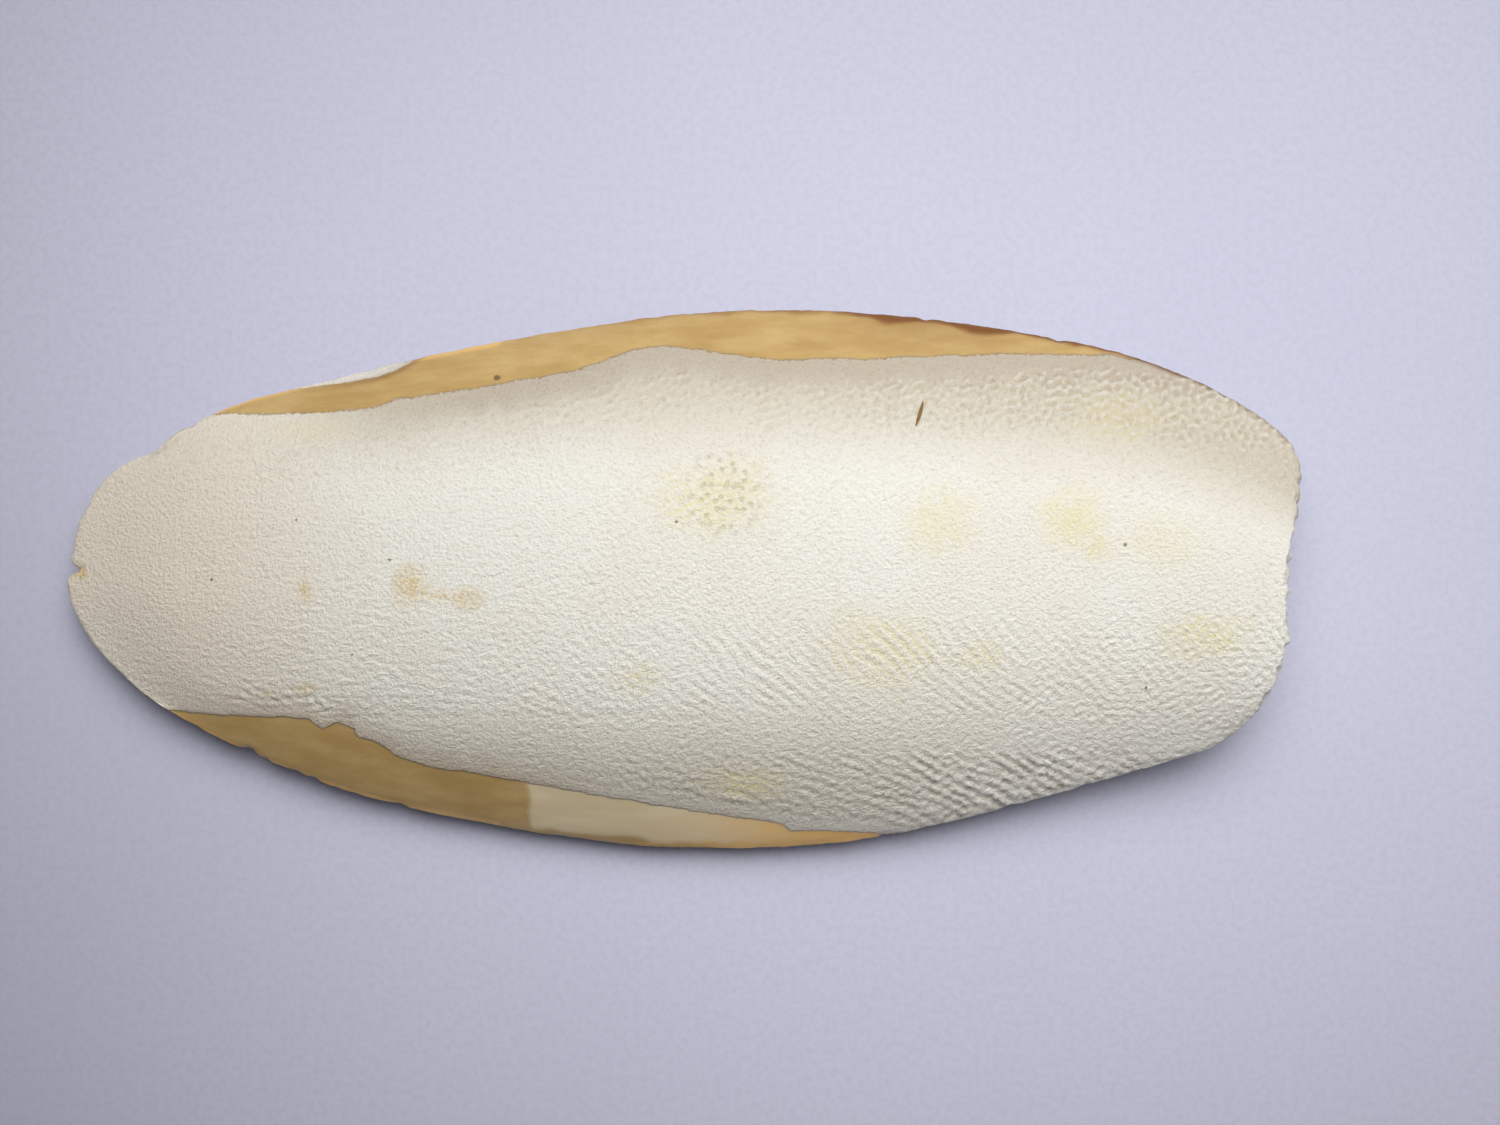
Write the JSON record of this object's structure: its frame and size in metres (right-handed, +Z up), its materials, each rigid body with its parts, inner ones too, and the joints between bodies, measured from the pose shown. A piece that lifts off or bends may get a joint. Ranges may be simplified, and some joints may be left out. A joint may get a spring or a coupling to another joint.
{
  "type": "cuttlebone",
  "caption": "Dried cuttlebone lying back up: a long domed chalky shell with thin horny side margins, a rounded front tip and a broken rear end.",
  "frame": {"origin": "centre of the bounding box's base, on the surface that the shell lies on", "axes": "+X along the shell from the front tip to the broken rear end, +Z up out of the domed back"},
  "size_m": [0.1358, 0.0602, 0.0156],
  "materials": {
    "bone": "chalky matte aragonite, cream white, with satin amber horn along the side margins"
  },
  "bodies": {
    "root": {"cuttlebone": "bone"}
  },
  "joints": []
}
